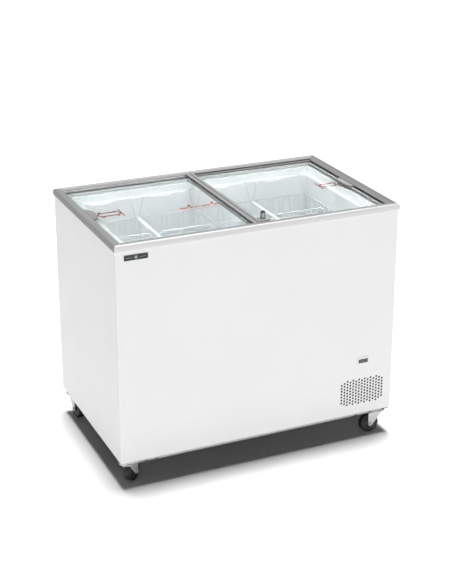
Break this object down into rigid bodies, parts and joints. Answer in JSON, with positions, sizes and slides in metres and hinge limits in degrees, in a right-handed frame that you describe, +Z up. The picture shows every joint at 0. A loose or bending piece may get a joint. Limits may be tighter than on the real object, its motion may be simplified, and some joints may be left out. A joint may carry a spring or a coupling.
{
  "type": "ice cream display freezer",
  "caption": "White chest freezer cabinet with two sliding flat glass lids in an aluminium frame, hanging wire baskets, a front vent and swivel castors.",
  "frame": {"origin": "on the floor below the middle of the cabinet", "axes": "+Z up, -Y towards the customer at the front, +X towards the machine bay"},
  "size_m": [1.046, 0.65, 0.911],
  "materials": {
    "white_steel": "smooth white powder coat",
    "galvanised": "zinc coated",
    "liner": "white coated sheet",
    "foam": "rigid foam",
    "copper": "bare copper tube",
    "black_paint": "satin black",
    "aluminium": "satin anodised",
    "lid_profile": "satin anodised",
    "grey_plastic": "light grey moulding",
    "black_plastic": "black moulding",
    "white_plastic": "white moulding",
    "glass": "clear float glass",
    "chrome": "polished",
    "zinc": "bright zinc",
    "tyre": "black",
    "white_wire": "plastic dipped wire"
  },
  "bodies": {
    "cabinet": {"front_panel": "white_steel", "rear_panel": "white_steel", "left_panel": "white_steel", "right_panel": "white_steel", "base_plate": "galvanised", "castor_plate_front_left": "galvanised", "castor_plate_front_right": "galvanised", "castor_plate_rear_left": "galvanised", "castor_plate_rear_right": "galvanised", "inner_liner": "liner", "foam_floor": "foam", "foam_front": "foam", "foam_rear": "foam", "foam_left": "foam", "foam_right": "foam", "evaporator_coil": "copper", "filter_drier": "copper", "compressor": "black_paint", "fan_shroud": "black_paint", "condenser": "aluminium", "front_rail": "aluminium", "rear_rail": "aluminium", "left_rail": "aluminium", "right_rail": "aluminium", "drain_tube": "grey_plastic", "thermostat_body": "grey_plastic", "cable_gland": "black_plastic", "display_window": "black_plastic", "badge_plate": "black_plastic", "display_bezel": "white_plastic"},
    "left_lid": {"left_lid_glass": "glass", "left_lid_grip": "grey_plastic", "left_lid_bar": "lid_profile", "lock_bracket": "grey_plastic", "lock_barrel": "chrome"},
    "right_lid": {"right_lid_glass": "glass", "right_lid_grip": "grey_plastic", "right_lid_profile": "lid_profile", "lock_strike": "grey_plastic"},
    "lock_plug": {"lock_plug": "chrome", "lock_cam": "chrome"},
    "fan": {"fan_blade": "grey_plastic"},
    "thermostat_knob": {"thermostat_knob": "black_plastic"},
    "drain_plug": {"drain_plug": "grey_plastic"},
    "basket_1": {"basket_1": "white_wire"},
    "divider_1": {"divider_1": "white_wire"},
    "basket_2": {"basket_2": "white_wire"},
    "divider_2": {"divider_2": "white_wire"},
    "basket_3": {"basket_3": "white_wire"},
    "divider_3": {"divider_3": "white_wire"},
    "basket_4": {"basket_4": "white_wire"},
    "divider_4": {"divider_4": "white_wire"},
    "castor_front_left": {"castor_fork_front_left": "zinc"},
    "wheel_front_left": {"castor_wheel_front_left": "tyre"},
    "castor_front_right": {"castor_fork_front_right": "zinc"},
    "wheel_front_right": {"castor_wheel_front_right": "tyre"},
    "castor_rear_left": {"castor_fork_rear_left": "zinc"},
    "wheel_rear_left": {"castor_wheel_rear_left": "tyre"},
    "castor_rear_right": {"castor_fork_rear_right": "zinc"},
    "wheel_rear_right": {"castor_wheel_rear_right": "tyre"}
  },
  "joints": [
    {"name": "left_lid_slide", "type": "slide", "parent": "cabinet", "child": "left_lid", "axis": [1, 0, 0], "range_m": [0, 0.455]},
    {"name": "right_lid_slide", "type": "slide", "parent": "cabinet", "child": "right_lid", "axis": [-1, 0, 0], "range_m": [0, 0.455]},
    {"name": "lock_turn", "type": "hinge", "parent": "left_lid", "child": "lock_plug", "pos_m": [0.019, -0.28, 0.9], "axis": [0, 0, 1], "range_deg": [-90, 0]},
    {"name": "fan_spin", "type": "hinge", "parent": "cabinet", "child": "fan", "pos_m": [0.402, -0.266, 0.188], "axis": [0, 1, 0], "continuous": true},
    {"name": "thermostat_turn", "type": "hinge", "parent": "cabinet", "child": "thermostat_knob", "pos_m": [0.42, 0.315, 0.26], "axis": [0, 1, 0], "range_deg": [0, 270]},
    {"name": "drain_plug_pull", "type": "slide", "parent": "cabinet", "child": "drain_plug", "axis": [0, 0, 1], "range_m": [0, 0.06]},
    {"name": "basket_1_lift", "type": "slide", "parent": "cabinet", "child": "basket_1", "axis": [0, 0, 1], "range_m": [0, 0.02]},
    {"name": "divider_1_slide", "type": "slide", "parent": "basket_1", "child": "divider_1", "axis": [0, 1, 0], "range_m": [-0.3, 0.14]},
    {"name": "basket_2_lift", "type": "slide", "parent": "cabinet", "child": "basket_2", "axis": [0, 0, 1], "range_m": [0, 0.02]},
    {"name": "divider_2_slide", "type": "slide", "parent": "basket_2", "child": "divider_2", "axis": [0, 1, 0], "range_m": [-0.3, 0.14]},
    {"name": "basket_3_lift", "type": "slide", "parent": "cabinet", "child": "basket_3", "axis": [0, 0, 1], "range_m": [0, 0.02]},
    {"name": "divider_3_slide", "type": "slide", "parent": "basket_3", "child": "divider_3", "axis": [0, 1, 0], "range_m": [-0.3, 0.14]},
    {"name": "basket_4_lift", "type": "slide", "parent": "cabinet", "child": "basket_4", "axis": [0, 0, 1], "range_m": [0, 0.02]},
    {"name": "divider_4_slide", "type": "slide", "parent": "basket_4", "child": "divider_4", "axis": [0, 1, 0], "range_m": [-0.3, 0.14]},
    {"name": "swivel_front_left", "type": "hinge", "parent": "cabinet", "child": "castor_front_left", "pos_m": [-0.486, -0.286, 0.09], "axis": [0, 0, 1], "continuous": true},
    {"name": "spin_front_left", "type": "hinge", "parent": "castor_front_left", "child": "wheel_front_left", "pos_m": [-0.46034, -0.26369, 0.036], "axis": [-0.6561, 0.7547, 0], "continuous": true},
    {"name": "swivel_front_right", "type": "hinge", "parent": "cabinet", "child": "castor_front_right", "pos_m": [0.486, -0.286, 0.09], "axis": [0, 0, 1], "continuous": true},
    {"name": "spin_front_right", "type": "hinge", "parent": "castor_front_right", "child": "wheel_front_right", "pos_m": [0.452, -0.286, 0.036], "axis": [0, -1, 0], "continuous": true},
    {"name": "swivel_rear_left", "type": "hinge", "parent": "cabinet", "child": "castor_rear_left", "pos_m": [-0.486, 0.286, 0.09], "axis": [0, 0, 1], "continuous": true},
    {"name": "spin_rear_left", "type": "hinge", "parent": "castor_rear_left", "child": "wheel_rear_left", "pos_m": [-0.48422, 0.25205, 0.036], "axis": [0.9986, 0.0523, 0], "continuous": true},
    {"name": "swivel_rear_right", "type": "hinge", "parent": "cabinet", "child": "castor_rear_right", "pos_m": [0.486, 0.286, 0.09], "axis": [0, 0, 1], "continuous": true},
    {"name": "spin_rear_right", "type": "hinge", "parent": "castor_rear_right", "child": "wheel_rear_right", "pos_m": [0.45519, 0.27163, 0.036], "axis": [0.4226, -0.9063, 0], "continuous": true}
  ]
}
